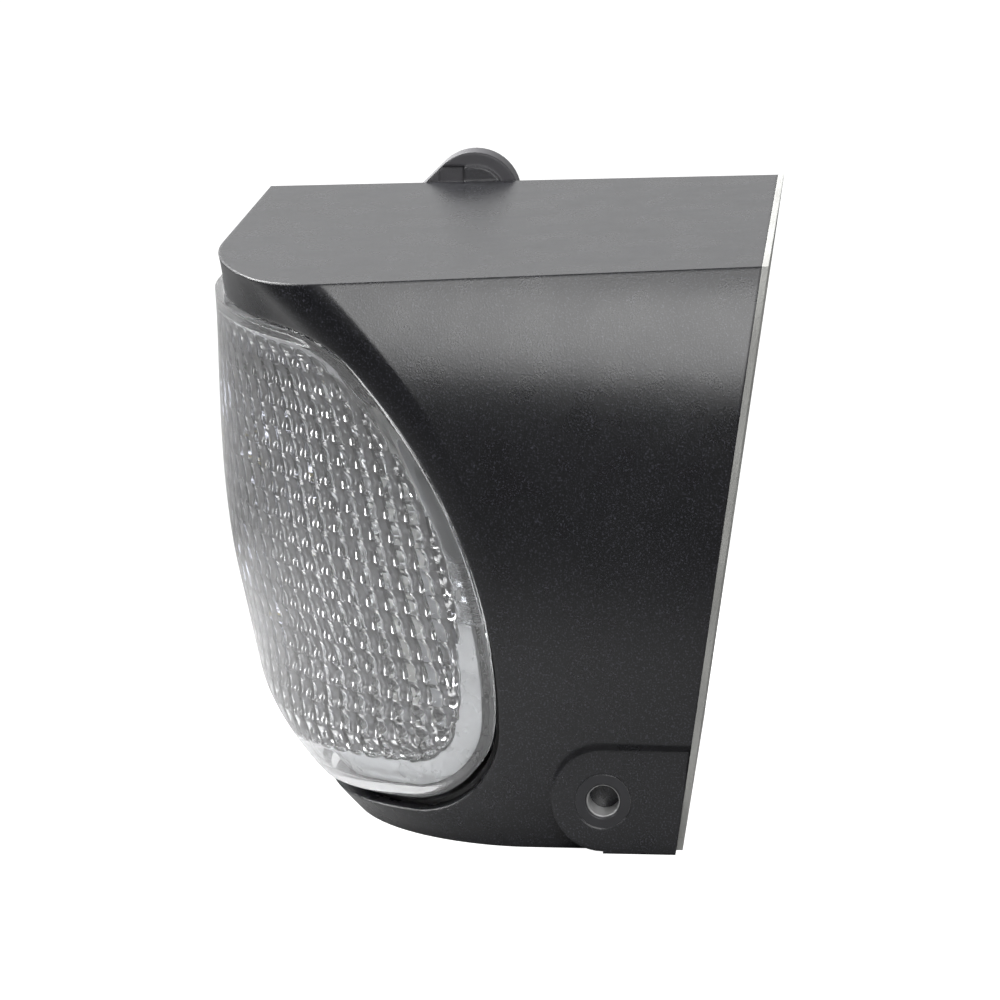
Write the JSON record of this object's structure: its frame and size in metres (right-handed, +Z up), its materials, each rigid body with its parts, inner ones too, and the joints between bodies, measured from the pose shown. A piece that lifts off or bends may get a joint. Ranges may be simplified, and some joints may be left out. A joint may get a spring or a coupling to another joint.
{
  "type": "vehicle headlight",
  "caption": "Wedge-shaped LED headlight: black housing, clear fluted lens wrapped round one corner, tilting beam unit with aim screw, two threaded ears.",
  "frame": {"origin": "centre of the lamp's bounding box, at the height of its flat base", "axes": "+Z up, +X towards the outer side of the vehicle, the lamp shines towards -Y and mounts with its rear face at +Y"},
  "size_m": [0.145, 0.1258, 0.1335],
  "materials": {
    "housing_black": "satin black, fine texture",
    "lens_clear": "clear polycarbonate, gloss",
    "seal_black": "matt silicone",
    "bezel_grey": "satin grey",
    "cover_aluminium": "die cast, black powder coat",
    "screw_steel": "zinc plated",
    "foam_pale": "closed-cell foam",
    "insert_steel": "bright turned steel",
    "insert_black": "black oxide, bright in the thread",
    "vent_plastic": "moulded, matt",
    "inlet_plastic": "glass-filled nylon, matt",
    "pin_brass": "tinned brass",
    "board_green": "solder mask, satin",
    "choke_copper": "enamelled copper winding",
    "can_silver": "bright drawn can",
    "chip_black": "moulded epoxy",
    "spacer_brass": "turned brass",
    "frame_steel": "bright zinc plated sheet",
    "sink_aluminium": "natural casting",
    "board_white": "white solder mask",
    "phosphor_yellow": "yellow phosphor under a clear dome",
    "reflector_chrome": "vacuum metallised",
    "socket_ivory": "natural nylon",
    "guide_plastic": "acetal, matt"
  },
  "bodies": {
    "lamp_housing": {"housing": "housing_black", "lens": "lens_clear", "lens_seal": "seal_black", "inner_bezel": "bezel_grey", "rear_cover": "cover_aluminium", "cover_seal": "seal_black", "cover_screws": "screw_steel", "rear_gasket": "foam_pale", "threaded_inserts": "insert_black", "breather_vent": "vent_plastic", "inlet_body": "inlet_plastic", "inlet_seal": "seal_black", "inlet_pins": "pin_brass", "inlet_screws": "screw_steel", "driver_board": "board_green", "driver_choke": "choke_copper", "driver_capacitors": "can_silver", "driver_chips": "chip_black", "board_spacers": "spacer_brass", "board_screws": "screw_steel", "pivot_frame": "frame_steel", "frame_posts": "spacer_brass", "frame_screws": "screw_steel", "aim_guide": "guide_plastic", "aim_screw_seal": "seal_black"},
    "beam_unit": {"heat_sink": "sink_aluminium", "pivot_pins": "insert_steel", "led_board": "board_white", "led_emitters": "phosphor_yellow", "low_beam_reflector": "reflector_chrome", "high_beam_reflector": "reflector_chrome", "reflector_screws": "screw_steel", "led_connector": "socket_ivory", "ball_stud": "insert_steel"},
    "aim_nut_body": {"aim_nut": "guide_plastic"},
    "aim_screw_body": {"aim_screw": "vent_plastic", "screw_clip": "frame_steel"}
  },
  "joints": [
    {"name": "beam_tilt", "type": "hinge", "parent": "lamp_housing", "child": "beam_unit", "pos_m": [0, -0.003, 0.057], "axis": [1, 0, 0], "range_deg": [-3, 3]},
    {"name": "nut_slide", "type": "slide", "parent": "lamp_housing", "child": "aim_nut_body", "axis": [0, 1, 0], "range_m": [-0.002, 0.002]},
    {"name": "screw_turn", "type": "hinge", "parent": "lamp_housing", "child": "aim_screw_body", "pos_m": [-0.02, 0, 0.02], "axis": [0, 1, 0], "range_deg": [-120, 120]}
  ],
  "couplings": [
    {"joint": "nut_slide", "follows": "beam_tilt", "m_per_rad": 0.037},
    {"joint": "screw_turn", "follows": "beam_tilt", "ratio": 38.746}
  ]
}
